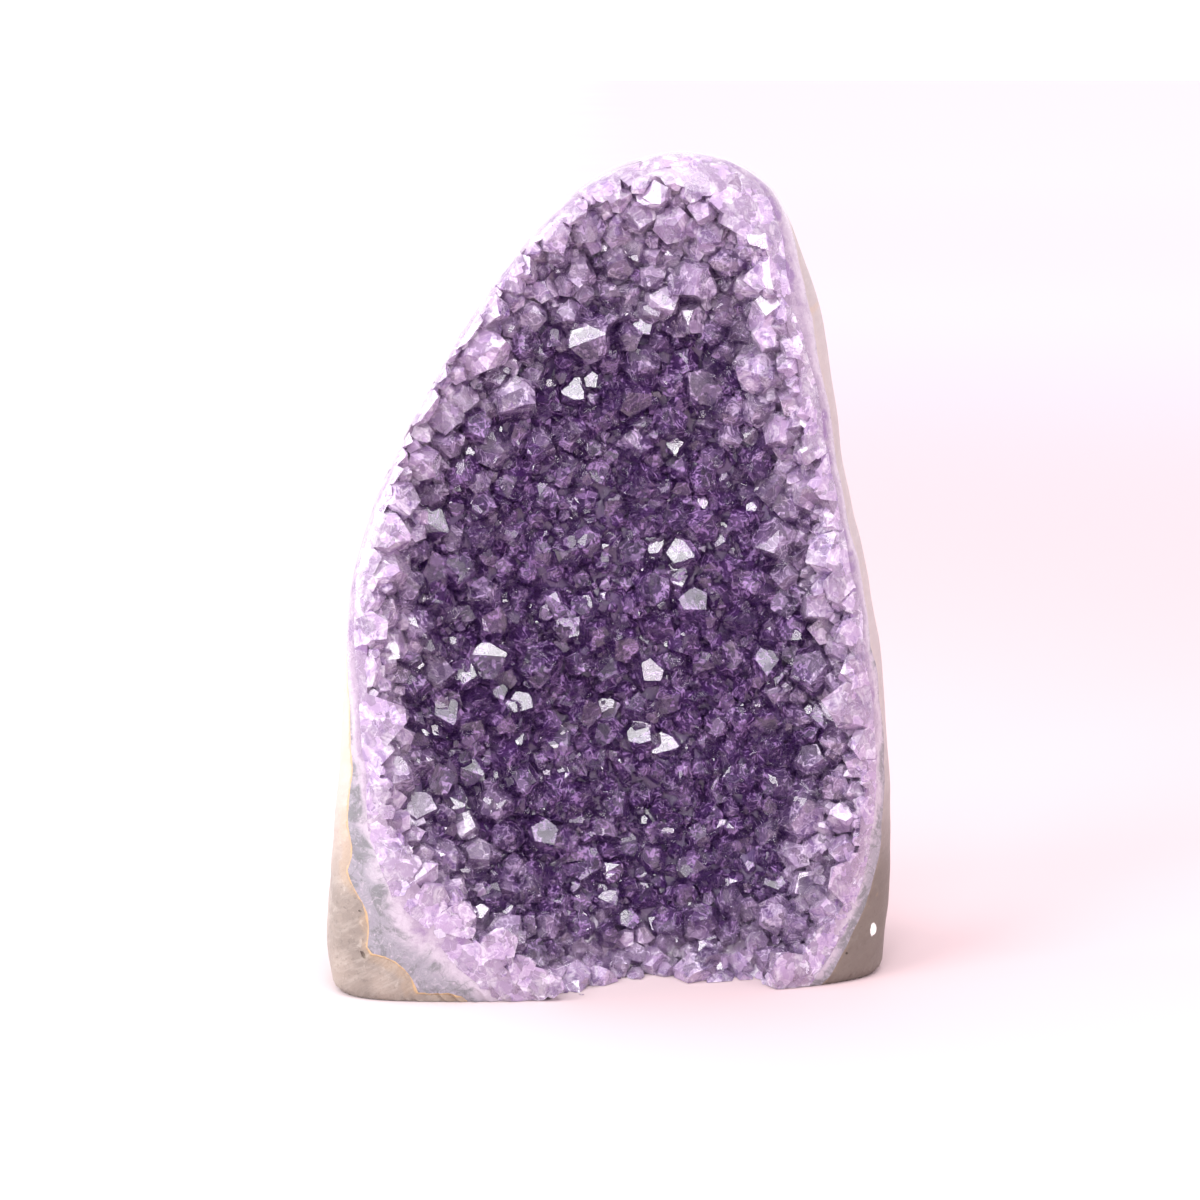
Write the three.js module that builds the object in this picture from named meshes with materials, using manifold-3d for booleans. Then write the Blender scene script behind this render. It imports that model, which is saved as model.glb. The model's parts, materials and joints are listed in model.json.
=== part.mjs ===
// Amethyst geode with a sawn base: a tall piece of a geode's wall, ground round its outline
// so that it stands by itself with its crystals facing forward.
//
// From the back to the front it has three minerals, and each is one named mesh:
//   basalt_matrix   the host rock, a thick domed shell with a bowl in its front
//   agate_band      the thin grey lining of that bowl, bare all round the ground rim
//   amethyst_druse  the quartz bed that lines the agate, with the crystals grown out of it
//
// Millimetres, +Z up, front towards -Y. The origin is the middle of the base.
import * as THREE from "three";
import { mergeVertices } from "three/addons/utils/BufferGeometryUtils.js";
import Module from "manifold-3d";

// ---- Driving dimensions ---------------------------------------------------------------

// Round the stone, seen from the front and clockwise from the middle of its left side.
// Each station gives [x, z] on three closed edges: the stone's outline, the edge of the
// bowl in the rock, and the edge of the crystal bed. Below z = 0 all three are sawn off.
const STATIONS = [
  { stone: [-47.5, 49], rock: [-46.6, 49], bed: [-42.5, 49] },
  { stone: [-45.3, 76.5], rock: [-50.5, 78], bed: [-43.5, 76.5] },
  { stone: [-34.7, 101.5], rock: [-45, 113], bed: [-38.5, 105.5] },
  { stone: [-20, 125], rock: [-25, 143], bed: [-22, 131] },
  { stone: [-3.5, 141.5], rock: [-3, 165], bed: [-3.5, 147] },
  { stone: [13, 147], rock: [16, 168], bed: [13, 146] },
  { stone: [28, 141], rock: [31, 150], bed: [25, 135.5] },
  { stone: [35.2, 125.5], rock: [34.6, 125], bed: [30.5, 119] },
  { stone: [40, 104], rock: [39, 103.5], bed: [36, 101] },
  { stone: [44.8, 78.5], rock: [43.8, 78.5], bed: [41.3, 78.5] },
  { stone: [49.3, 56], rock: [48.2, 56], bed: [44.5, 56] },
  { stone: [51, 31.5], rock: [50.4, 31.5], bed: [46.2, 33.5] },
  { stone: [50.7, 11], rock: [45.5, 13], bed: [40.5, 12] },
  { stone: [46.5, -12], rock: [33, -5.5], bed: [28.5, -5] },
  { stone: [0, -60], rock: [5, -24], bed: [9, -17] },
  { stone: [-45, -14], rock: [-14, -7], bed: [-5, -7] },
  { stone: [-50, 5], rock: [-41, 9.5], bed: [-22.5, 9.5] },
  { stone: [-49.2, 24.5], rock: [-45.8, 24.5], bed: [-36.5, 25.5] },
];
const HEIGHT = 147;
const MIDDLE = { x: 1, z: 63 }; // the rings of every body close on this line

const FRONT_AT_BASE = 18; // from the widest section forward, at the base
const FRONT_AT_TOP = 13;
const BACK_AT_BASE = 42; // from the widest section back, at the base
const BACK_AT_TOP = 25;
const LEAN = 0.05; // the stone leans back by this share of its height
const YAW = 0.13; // and its left side stands further forward

const BED_DEPTH = 24; // from the rim's plane to the deepest part of the crystal bed
const QUARTZ_THICKNESS = 4.5; // massive quartz under the crystals
const AGATE_THICKNESS = 3.5;
const QUARTZ_SHARE = 0.5; // of the strip between the bed's edge and the rock's edge
const SEAM = 0.3; // gap between neighbouring minerals

const LIP_SQUARENESS = 3; // exponents of the superellipses that the sections follow
const BACK_SQUARENESS = 2.7;
const BOWL_SQUARENESS = 2.4;
const PLUG_FRONT = 40; // how far a bowl's solid stands forward of the rim's plane

const AROUND = 36; // facets round a body, and from its front pole to its back pole
const ACROSS = 12;

const CRYSTALS = 115;
const CRYSTAL_RADIUS = [4.2, 6.4]; // smallest and largest
const CRYSTAL_ROOT = 4; // how deep a crystal starts in the bed
const CRYSTAL_SHAFT = [0.8, 4.2]; // prism above the bed
const CRYSTAL_TAPER = 0.94;
const TIP_STEEPNESS = 1.1; // height of the six-sided point over the crystal's radius
const TIP_SHIFT = 0.3; // how far the point may sit off the axis, over the radius
const CRYSTAL_TILT = 0.38; // largest slope against the bed
const SEED = 20;

// ---- Helpers --------------------------------------------------------------------------

const wasm = await Module();
wasm.setup();

const mix = THREE.MathUtils.lerp;

// A repeatable random number from 0 to 1 at each call.
function randomSource(seed) {
  let state = seed;
  return () => {
    state = (state + 0x6d2b79f5) | 0;
    let t = Math.imul(state ^ (state >>> 15), 1 | state);
    t = (t + Math.imul(t ^ (t >>> 7), 61 | t)) ^ t;
    return ((t ^ (t >>> 14)) >>> 0) / 4294967296;
  };
}

// A closed BufferGeometry as a solid that can be joined and cut.
function solidOf(geometry) {
  const bare = geometry.clone();
  bare.deleteAttribute("normal");
  bare.deleteAttribute("uv");
  const merged = mergeVertices(bare, 1e-4);
  return new wasm.Manifold(
    new wasm.Mesh({
      numProp: 3,
      vertProperties: merged.attributes.position.array,
      triVerts: new Uint32Array(merged.index.array),
    }),
  );
}

// A solid as a BufferGeometry with flat facets.
function geometryOf(solid) {
  const { vertProperties, triVerts } = solid.getMesh();
  const geometry = new THREE.BufferGeometry();
  geometry.setAttribute("position", new THREE.BufferAttribute(vertProperties, 3));
  geometry.setIndex(new THREE.BufferAttribute(triVerts, 1));
  const flat = geometry.toNonIndexed();
  flat.computeVertexNormals();
  return flat;
}

// ---- The stone's form -----------------------------------------------------------------

// A smooth closed edge through one point of each station. Edges share their stations,
// so a point between two edges is found by mixing them at the same share of the way round.
function edgeThrough(pointOf) {
  const points = STATIONS.map((station) => {
    const [x, z] = pointOf(station);
    return new THREE.Vector3(x, 0, z);
  });
  return new THREE.CatmullRomCurve3(points, true, "centripetal");
}

const stoneEdge = edgeThrough((station) => station.stone);
const rockEdge = edgeThrough((station) => station.rock);
const bedEdge = edgeThrough((station) => station.bed);
const quartzEdge = edgeThrough(({ bed, rock }) => [
  mix(bed[0], rock[0], QUARTZ_SHARE),
  mix(bed[1], rock[1], QUARTZ_SHARE),
]);

const heightShare = (z) => THREE.MathUtils.clamp(z / HEIGHT, 0, 1);
const frontHalf = (z) => mix(FRONT_AT_BASE, FRONT_AT_TOP, heightShare(z));
const backHalf = (z) => mix(BACK_AT_BASE, BACK_AT_TOP, heightShare(z));
const widestPlane = (x, z) => LEAN * z + YAW * x;
const rimPlane = (x, z) => widestPlane(x, z) - frontHalf(z);

// The point of an edge at share `around`, drawn in to `ring` of its way from the middle
// and pushed out by `grow`.
function ringPoint(edge, around, ring, grow = 0) {
  const point = edge.getPoint(around % 1);
  const out = new THREE.Vector2(point.x - MIDDLE.x, point.z - MIDDLE.z);
  out.setLength(out.length() + grow).multiplyScalar(ring);
  return [MIDDLE.x + out.x, MIDDLE.z + out.y];
}

// A sphere with its poles front and back, pressed so that its equator follows an edge.
// `depthAt` gives y from the point's x and z and from how far it is towards a pole, -1 at
// the front and 1 at the back; `squareness` gives the section's exponent on each side.
function pressedSphere({ edge, grow = 0, squareness, depthAt }) {
  const geometry = new THREE.SphereGeometry(1, AROUND, ACROSS);
  const { position, uv } = geometry.attributes;
  for (let i = 0; i < position.count; i++) {
    const towardsPole = Math.sin(Math.PI * (uv.getY(i) - 0.5));
    const power = 2 / squareness(towardsPole);
    const ring = Math.sqrt(Math.max(0, 1 - towardsPole ** 2)) ** power;
    const depth = Math.sign(towardsPole) * Math.abs(towardsPole) ** power;
    const [x, z] = ringPoint(edge, uv.getX(i), ring, grow);
    position.setXYZ(i, x, depthAt(x, z, depth), z);
  }
  return solidOf(geometry);
}

// The whole stone: a flat front with a round lip, a domed back and a sawn base.
function stoneBody() {
  const whole = pressedSphere({
    edge: stoneEdge,
    squareness: (pole) => (pole < 0 ? LIP_SQUARENESS : BACK_SQUARENESS),
    depthAt: (x, z, depth) =>
      widestPlane(x, z) + depth * (depth < 0 ? frontHalf(z) : backHalf(z)),
  });
  const underground = new THREE.BoxGeometry(4 * HEIGHT, 4 * HEIGHT, HEIGHT);
  underground.translate(0, 0, -HEIGHT / 2);
  return whole.subtract(solidOf(underground));
}

// What a bowl in the stone holds: its back is the bowl's wall, and it stands out in front.
const bowlDepth = (z, depth) => depth * mix(1, FRONT_AT_TOP / FRONT_AT_BASE, heightShare(z));
function bowlPlug(edge, deepest, grow = 0) {
  return pressedSphere({
    edge,
    grow,
    squareness: () => BOWL_SQUARENESS,
    depthAt: (x, z, depth) =>
      rimPlane(x, z) + depth * (depth < 0 ? PLUG_FRONT : bowlDepth(z, deepest) + grow),
  });
}

// ---- Crystals -------------------------------------------------------------------------

// The crystal bed's surface at a share of the way round and a ring from 0 to 1.
function bedPoint(around, ring) {
  const [x, z] = ringPoint(bedEdge, around, ring);
  const depth = (1 - ring ** BOWL_SQUARENESS) ** (1 / BOWL_SQUARENESS);
  return new THREE.Vector3(x, rimPlane(x, z) + depth * bowlDepth(z, BED_DEPTH), z);
}

// The direction in which a crystal grows there: straight out of the bed, into the hollow.
function bedNormal(around, ring) {
  const step = 0.01;
  const here = bedPoint(around, ring);
  const onward = bedPoint(around + step, ring).sub(here);
  const inward = bedPoint(around, ring - step).sub(here);
  return inward.cross(onward).normalize();
}

// A six-sided prism with a six-sided point, growing along +Y from its root.
function crystalGeometry(radius, shaft, shift) {
  const shoulder = CRYSTAL_ROOT + shaft;
  const profile = [
    new THREE.Vector2(0, 0),
    new THREE.Vector2(radius, 0),
    new THREE.Vector2(radius * CRYSTAL_TAPER, shoulder),
    new THREE.Vector2(0, shoulder + TIP_STEEPNESS * radius),
  ];
  const geometry = new THREE.LatheGeometry(profile, 6);
  const { position } = geometry.attributes;
  for (let i = 0; i < position.count; i++) {
    if (position.getY(i) > shoulder + 0.01) {
      position.setX(i, shift.x * radius);
      position.setZ(i, shift.y * radius);
    }
  }
  return geometry;
}

// All the crystals, set out on the bed like the seeds of a sunflower.
function crystals() {
  const random = randomSource(SEED);
  const between = ([low, high]) => mix(low, high, random());
  const swing = (size) => size * (2 * random() - 1);
  const goldenTurn = (3 - Math.sqrt(5)) / 2;
  const grown = [];
  for (let k = 0; k < CRYSTALS; k++) {
    const ring = Math.sqrt((k + 0.5) / CRYSTALS) * 0.985;
    const around = (k * goldenTurn) % 1;
    const root = bedPoint(around, ring);
    const direction = bedNormal(around, Math.max(ring, 0.02));
    direction.add(new THREE.Vector3(swing(1), swing(1), swing(1)).multiplyScalar(CRYSTAL_TILT));
    direction.normalize();
    const radius = between(CRYSTAL_RADIUS);
    const shift = new THREE.Vector2(swing(TIP_SHIFT), swing(TIP_SHIFT));
    const geometry = crystalGeometry(radius, between(CRYSTAL_SHAFT), shift);
    geometry.rotateY(random() * Math.PI);
    const turn = new THREE.Quaternion().setFromUnitVectors(
      new THREE.Vector3(0, 1, 0),
      direction,
    );
    geometry.applyQuaternion(turn);
    root.addScaledVector(direction, -CRYSTAL_ROOT);
    geometry.translate(root.x, root.y, root.z);
    if (root.z > -CRYSTAL_ROOT) grown.push(solidOf(geometry));
  }
  return wasm.Manifold.union(grown);
}

// ---- The three minerals ---------------------------------------------------------------

const quartzDepth = BED_DEPTH + QUARTZ_THICKNESS;
const rockDepth = quartzDepth + AGATE_THICKNESS;

const stone = stoneBody();
const basalt = stone.subtract(bowlPlug(rockEdge, rockDepth));
const agate = stone
  .intersect(bowlPlug(rockEdge, rockDepth, -SEAM))
  .subtract(bowlPlug(quartzEdge, quartzDepth));
// The crystals take up part of the hollow, and what is left of it is cut from the quartz.
const openHollow = bowlPlug(bedEdge, BED_DEPTH).subtract(crystals());
const druse = stone
  .intersect(bowlPlug(quartzEdge, quartzDepth, -SEAM))
  .subtract(openHollow);

const minerals = [
  {
    name: "basalt_matrix",
    solid: basalt,
    look: { color: 0x8d8176, roughness: 0.55, metalness: 0 },
  },
  {
    name: "agate_band",
    solid: agate,
    look: { color: 0xc9c7d2, roughness: 0.25, metalness: 0 },
  },
  {
    name: "amethyst_druse",
    solid: druse,
    look: { color: 0x6a4a94, roughness: 0.12, metalness: 0 },
  },
];

// The stone is moved so that the middle of its base is the origin.
const box = stone.boundingBox();
const geode = new THREE.Group();
geode.position.set(-(box.min[0] + box.max[0]) / 2, -(box.min[1] + box.max[1]) / 2, 0);
for (const { name, solid, look } of minerals) {
  const material = new THREE.MeshStandardMaterial({ ...look, flatShading: true });
  const mesh = new THREE.Mesh(geometryOf(solid), material);
  mesh.name = name;
  geode.add(mesh);
}

export default geode;
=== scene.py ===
"""A tall piece of an amethyst geode's wall: sawn base, ground rim and a hollow of purple crystals."""

import json
import logging
import math
import random
from dataclasses import dataclass
from enum import Enum
from typing import Any, Callable, Mapping, Optional, Sequence, Union

import bmesh
import bpy
from mathutils import Matrix, Vector, noise
from mathutils.bvhtree import BVHTree

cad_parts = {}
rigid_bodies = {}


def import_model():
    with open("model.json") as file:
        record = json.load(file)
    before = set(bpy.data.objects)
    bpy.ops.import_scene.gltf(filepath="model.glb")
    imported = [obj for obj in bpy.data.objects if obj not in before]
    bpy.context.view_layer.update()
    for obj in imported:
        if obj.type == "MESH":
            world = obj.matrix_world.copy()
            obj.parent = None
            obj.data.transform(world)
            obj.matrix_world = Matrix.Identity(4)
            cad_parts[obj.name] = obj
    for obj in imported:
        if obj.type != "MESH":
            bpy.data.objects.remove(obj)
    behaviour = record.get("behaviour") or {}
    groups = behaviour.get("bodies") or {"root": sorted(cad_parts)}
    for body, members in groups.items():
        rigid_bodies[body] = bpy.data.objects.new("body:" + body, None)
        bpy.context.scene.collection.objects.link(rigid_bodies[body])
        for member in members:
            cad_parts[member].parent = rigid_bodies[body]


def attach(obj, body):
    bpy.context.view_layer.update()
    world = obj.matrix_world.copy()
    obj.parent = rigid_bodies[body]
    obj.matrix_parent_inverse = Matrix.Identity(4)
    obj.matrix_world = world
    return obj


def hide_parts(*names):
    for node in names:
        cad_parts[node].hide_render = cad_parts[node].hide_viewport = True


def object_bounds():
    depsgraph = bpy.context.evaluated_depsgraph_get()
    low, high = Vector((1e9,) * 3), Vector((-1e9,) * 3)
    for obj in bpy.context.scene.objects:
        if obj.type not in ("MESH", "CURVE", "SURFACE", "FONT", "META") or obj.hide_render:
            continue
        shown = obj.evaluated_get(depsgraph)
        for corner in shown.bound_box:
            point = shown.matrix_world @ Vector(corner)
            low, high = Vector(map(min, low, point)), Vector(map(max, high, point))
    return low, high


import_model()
CAD_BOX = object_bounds()

LOG = logging.getLogger("geode")

RHOMB_ANGLE = math.radians(51.8)  # between a quartz point's face normal and the crystal's axis
STONE_CREASE = 30.0  # the angle in degrees above which an edge of the stone stays sharp
CRYSTAL_CREASE = 14.0  # the same for the crystals
Colour = tuple[float, float, float]
Field = Callable[[Vector], float]


# ---- The stone's form, in millimetres from the middle of its sawn base ---------------------


@dataclass(frozen=True)
class Station:
    """One place on the outline seen from the front, as (across, up): the stone, rock and bed edges."""

    stone: tuple[float, float]
    rock: tuple[float, float]
    bed: tuple[float, float]


STATIONS = (
    Station((-47.5, 49), (-46.6, 49), (-42.5, 49)),
    Station((-45.3, 76.5), (-50.5, 78), (-43.5, 76.5)),
    Station((-34.7, 101.5), (-45, 113), (-38.5, 105.5)),
    Station((-20, 125), (-25, 143), (-22, 131)),
    Station((-3.5, 141.5), (-3, 165), (-3.5, 147)),
    Station((13, 147), (16, 168), (13, 146)),
    Station((28, 141), (31, 150), (25, 135.5)),
    Station((35.2, 125.5), (34.6, 125), (30.5, 119)),
    Station((40, 104), (39, 103.5), (36, 101)),
    Station((44.8, 78.5), (43.8, 78.5), (41.3, 78.5)),
    Station((49.3, 56), (48.2, 56), (44.5, 56)),
    Station((51, 31.5), (50.4, 31.5), (46.2, 33.5)),
    Station((50.7, 11), (45.5, 13), (40.5, 12)),
    Station((46.5, -12), (33, -5.5), (28.5, -5)),
    Station((0, -60), (5, -24), (9, -17)),
    Station((-45, -14), (-14, -7), (-5, -7)),
    Station((-50, 5), (-41, 9.5), (-22.5, 9.5)),
    Station((-49.2, 24.5), (-45.8, 24.5), (-36.5, 25.5)),
)


class Edge:
    """A smooth closed curve through one point of each station."""

    def __init__(self, points: Sequence[tuple[float, float]]) -> None:
        """Takes the points in order, as (across, up)."""
        self.points = [Vector(point) for point in points]

    def at(self, share: float) -> Vector:
        """Finds a point on the curve.

        Args:
            share: the share of the way round, in stations.

        Returns:
            The point, as (across, up).
        """
        count = len(self.points)
        place = (share % 1.0) * count
        first = int(place)
        p0, p1, p2, p3 = (self.points[(first + step) % count] for step in (-1, 0, 1, 2))
        d0, d1, d2 = (math.sqrt((b - a).length) for a, b in ((p0, p1), (p1, p2), (p2, p3)))
        start = ((p1 - p0) / d0 - (p2 - p0) / (d0 + d1) + (p2 - p1) / d1) * d1
        end = ((p2 - p1) / d1 - (p3 - p1) / (d1 + d2) + (p3 - p2) / d2) * d1
        t = place - first
        return (
            p1
            + start * t
            + (3 * (p2 - p1) - 2 * start - end) * t**2
            + (2 * (p1 - p2) + start + end) * t**3
        )

    def table(self, count: int) -> list[Vector]:
        """Returns `count` points evenly spread over the stations."""
        return [self.at(k / count) for k in range(count)]


def lerp(low: float, high: float, share: float) -> float:
    """Returns the value at a share of the way from low to high."""
    return low + (high - low) * share


def clamped(share: float) -> float:
    """Returns a share kept between 0 and 1."""
    return min(1.0, max(0.0, share))


@dataclass(frozen=True)
class Lumps:
    """Soft lumps on a surface, in millimetres."""

    height: float
    width: float
    octaves: int = 2
    seed: float = 0.0

    def __call__(self, p: Vector) -> float:
        """Returns how far the surface stands out at a point."""
        at = p / self.width + Vector((self.seed, 2 * self.seed, -self.seed))
        return self.height * noise.fractal(at, 1.0, 2.0, self.octaves)


@dataclass(frozen=True)
class StoneForm:
    """The sizes that the stone and the bowls in it follow, in millimetres."""

    height: float = 147.0
    middle: Vector = Vector((1.0, 63.0))
    front_at_base: float = 18.0
    front_at_top: float = 13.0
    back_at_base: float = 42.0
    back_at_top: float = 25.0
    lean: float = 0.05  # how far back the stone leans, over its height
    yaw: float = 0.13  # how far back its right side is turned, over its width
    bed_depth: float = 24.0
    quartz_thickness: float = 4.5
    agate_thickness: float = 3.5
    quartz_share: float = 0.5
    lip_squareness: float = 3.0
    back_squareness: float = 2.7
    bowl_squareness: float = 2.4
    plug_front: float = 40.0
    base_roll: float = 1.6  # how far the sawn base's edge is rounded

    def edge(self, pick: Callable[[Station], tuple[float, float]]) -> Edge:
        """Returns the curve through one point of each station."""
        return Edge([pick(station) for station in STATIONS])

    def height_share(self, z: float) -> float:
        """Returns 0 at the base to 1 at the top."""
        return clamped(z / self.height)

    def widest_plane(self, x: float, z: float) -> float:
        """Returns y where the stone is widest."""
        return self.lean * z + self.yaw * x

    def rim_plane(self, x: float, z: float) -> float:
        """Returns y of the rim's front."""
        front = lerp(self.front_at_base, self.front_at_top, self.height_share(z))
        return self.widest_plane(x, z) - front

    def bowl_depth(self, z: float, deepest: float) -> float:
        """Returns a bowl's depth at a height, from its depth at the base."""
        return deepest * lerp(1, self.front_at_top / self.front_at_base, self.height_share(z))

    def stone_depth(self, x: float, z: float, depth: float) -> float:
        """Finds the stone's outside.

        Args:
            x: the place across.
            z: the place up.
            depth: -1 at the front pole to 1 at the back pole.

        Returns:
            y of the outside there.
        """
        if depth < 0:
            half = lerp(self.front_at_base, self.front_at_top, self.height_share(z))
        else:
            half = lerp(self.back_at_base, self.back_at_top, self.height_share(z))
        return self.widest_plane(x, z) + depth * half

    def bowl_wall(self, deepest: float) -> Callable[[float, float, float], float]:
        """Makes the rule for y on a bowl's plug, which stands out in front of the stone.

        Args:
            deepest: the bowl's depth at the base.

        Returns:
            A function of x, z and the depth, -1 at the front pole to 1 at the bowl's deepest.
        """

        def depth_at(x: float, z: float, depth: float) -> float:
            """Returns y from -1 at the front pole to 1 at the bowl's deepest."""
            half = self.plug_front if depth < 0 else self.bowl_depth(z, deepest)
            return self.rim_plane(x, z) + depth * half

        return depth_at

    def pressed_sphere(
        self,
        edge: Edge,
        depth_at: Callable[[float, float, float], float],
        squareness: Callable[[float], float],
        around: int,
        across: int,
    ) -> bmesh.types.BMesh:
        """Makes a sphere with its poles front and back, pressed so that its equator follows an edge.

        Args:
            edge: the curve that the equator follows.
            depth_at: gives y from x, z and -1 to 1 between the poles.
            squareness: gives the section's exponent on each side.
            around: facets round the edge.
            across: facets from pole to pole.

        Returns:
            The closed shape, in millimetres.
        """
        bm = bmesh.new()
        bmesh.ops.create_uvsphere(bm, u_segments=around, v_segments=across, radius=1.0)
        curve = edge.table(around)
        for vert in bm.verts:
            pole = max(-1.0, min(1.0, vert.co.z))
            turn = math.atan2(vert.co.y, vert.co.x) / math.tau
            power = 2 / squareness(pole)
            ring = math.sqrt(max(0.0, 1 - pole * pole)) ** power
            depth = math.copysign(abs(pole) ** power, pole)
            point = self.middle + (curve[round(turn * around) % around] - self.middle) * ring
            vert.co = (point.x, depth_at(point.x, point.y, depth), point.y)
        face_out(bm)
        return bm

    def bed_point(self, edge: Edge, around: float, ring: float) -> Vector:
        """Finds a place on the bed.

        Args:
            edge: the bed's edge.
            around: the share of the way round.
            ring: the share of the way from the middle to the edge.

        Returns:
            The place, in millimetres.
        """
        flat = self.middle + (edge.at(around) - self.middle) * ring
        depth = max(0.0, 1 - ring**self.bowl_squareness) ** (1 / self.bowl_squareness)
        wall = self.bowl_wall(self.bed_depth)
        return Vector((flat.x, wall(flat.x, flat.y, depth), flat.y))


def face_out(bm: bmesh.types.BMesh) -> None:
    """Turns faces outwards.

    Args:
        bm: the closed shape that they belong to.
    """
    bmesh.ops.recalc_face_normals(bm, faces=bm.faces)
    if bm.calc_volume(signed=True) < 0:
        bmesh.ops.reverse_faces(bm, faces=bm.faces)


def cut_flat(bm: bmesh.types.BMesh, place: Vector, away: Vector, gap: float) -> None:
    """Cuts a closed shape flat and closes it again.

    Args:
        bm: the shape.
        place: a point of the cut.
        away: the direction in which everything past the cut goes.
        gap: how near a vertex may be to count as on the cut.
    """
    cut = bmesh.ops.bisect_plane(
        bm, geom=[*bm.verts, *bm.edges, *bm.faces], dist=gap, clear_outer=True,
        plane_co=place, plane_no=away,
    )
    rim = [part for part in cut["geom_cut"] if isinstance(part, bmesh.types.BMEdge)]
    if rim:
        bmesh.ops.contextual_create(bm, geom=rim)


def roughen(bm: bmesh.types.BMesh, *fields: Field) -> None:
    """Moves each vertex along its normal.

    Args:
        bm: the shape.
        fields: how far each point is moved; they are added up.
    """
    bm.normal_update()
    for vert in bm.verts:
        vert.co += vert.normal * sum(field(vert.co) for field in fields)


# ---- Solids ------------------------------------------------------------------------------


class Joining(Enum):
    """How one solid is combined with others."""

    UNION = "UNION"
    DIFFERENCE = "DIFFERENCE"
    INTERSECT = "INTERSECT"


def mesh_of(bm: bmesh.types.BMesh, name: str = "solid") -> bpy.types.Mesh:
    """Turns a bmesh into a mesh.

    Args:
        bm: the bmesh, which is freed.
        name: the mesh's name.

    Returns:
        The mesh.
    """
    mesh = bpy.data.meshes.new(name)
    bm.to_mesh(mesh)
    bm.free()
    return mesh


def combined(
    base: bpy.types.Mesh, tools: Sequence[bpy.types.Mesh], joining: Joining
) -> bpy.types.Mesh:
    """Joins or cuts closed meshes.

    Args:
        base: the solid that is added to or cut.
        tools: the solids that are added or taken away. They are kept.
        joining: what is done with them.

    Returns:
        A new mesh.
    """
    scene = bpy.context.scene
    shelf = bpy.data.collections.new("shelf")
    scene.collection.children.link(shelf)
    holder = bpy.data.objects.new("holder", base)
    scene.collection.objects.link(holder)
    for tool in tools:
        shelf.objects.link(bpy.data.objects.new("tool", tool))
    cut = holder.modifiers.new("cut", "BOOLEAN")
    cut.operation = joining.value
    cut.operand_type = "COLLECTION"
    cut.collection = shelf
    cut.solver = "MANIFOLD"
    graph = bpy.context.evaluated_depsgraph_get()
    made = bpy.data.meshes.new_from_object(holder.evaluated_get(graph))
    for held in [*shelf.objects, holder]:
        bpy.data.objects.remove(held)
    bpy.data.collections.remove(shelf)
    return made


def nearest_tree(mesh: bpy.types.Mesh) -> BVHTree:
    """Makes a tree that finds the nearest point of a mesh.

    Args:
        mesh: the mesh.

    Returns:
        The tree.
    """
    bm = bmesh.new()
    bm.from_mesh(mesh)
    tree = BVHTree.FromBMesh(bm)
    bm.free()
    return tree


def distances(mesh: bpy.types.Mesh, tree: BVHTree, farthest: float) -> list[float]:
    """Returns each vertex's distance to a surface, in millimetres, up to a farthest value."""
    found = [tree.find_nearest(vert.co, farthest)[3] for vert in mesh.vertices]
    return [farthest if distance is None else distance for distance in found]


def record(mesh: bpy.types.Mesh, name: str, values: Sequence[float]) -> None:
    """Stores one number for each vertex as a float attribute."""
    mesh.attributes.new(name, "FLOAT", "POINT").data.foreach_set("value", values)


@dataclass
class Seat:
    """Where the finished meshes go: the form's box is set on the frame's box."""

    low: Vector
    high: Vector

    def settle(self, mesh: bpy.types.Mesh, crease: float) -> None:
        """Moves a mesh from the form's millimetres to the frame's metres and smooths it.

        Args:
            mesh: the mesh, in millimetres.
            crease: the angle in degrees above which an edge stays sharp.
        """
        cad_low, cad_high = (Vector(corner) for corner in CAD_BOX)
        scale = (cad_high.z - cad_low.z) / (self.high.z - self.low.z)
        shift = (cad_low + cad_high) / 2 - (self.low + self.high) / 2 * scale
        shift.z = cad_low.z - self.low.z * scale
        mesh.transform(Matrix.Translation(shift) @ Matrix.Scale(scale, 4))
        mesh.shade_smooth()
        mesh.set_sharp_from_angle(angle=math.radians(crease))


# ---- Shader building ---------------------------------------------------------------------

Value = Union["Sock", float]
Shade = Union["Sock", Colour]


class Sock:
    """An output socket that takes part in Python arithmetic; each step adds a Math node."""

    def __init__(self, tree: "Shader", socket: bpy.types.NodeSocket) -> None:
        """Wraps a socket of a shader's tree."""
        self.tree = tree
        self.socket = socket

    def math(self, operation: str, first: Value, second: Value = 0.0) -> "Sock":
        """Adds one Math node."""
        made = self.tree.node("Math", {"operation": operation}, {0: first, 1: second})
        return self.tree.sock(made, 0)

    def __add__(self, other: Value) -> "Sock":
        """self + other."""
        return self.math("ADD", self, other)

    def __sub__(self, other: Value) -> "Sock":
        """self - other."""
        return self.math("SUBTRACT", self, other)

    def __rsub__(self, other: Value) -> "Sock":
        """other - self."""
        return self.math("SUBTRACT", other, self)

    def __mul__(self, other: Value) -> "Sock":
        """self * other."""
        return self.math("MULTIPLY", self, other)

    __radd__ = __add__
    __rmul__ = __mul__

    def step(self, start: float, end: float) -> "Sock":
        """Adds a smooth step.

        Args:
            start: the value at which it leaves 0.
            end: the value at which it reaches 1; it may be the lower one.

        Returns:
            The step, from 0 to 1.
        """
        made = self.tree.node(
            "MapRange",
            {"interpolation_type": "SMOOTHSTEP", "clamp": True},
            {"Value": self, "From Min": start, "From Max": end, "To Min": 0.0, "To Max": 1.0},
        )
        return self.tree.sock(made, "Result")


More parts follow.
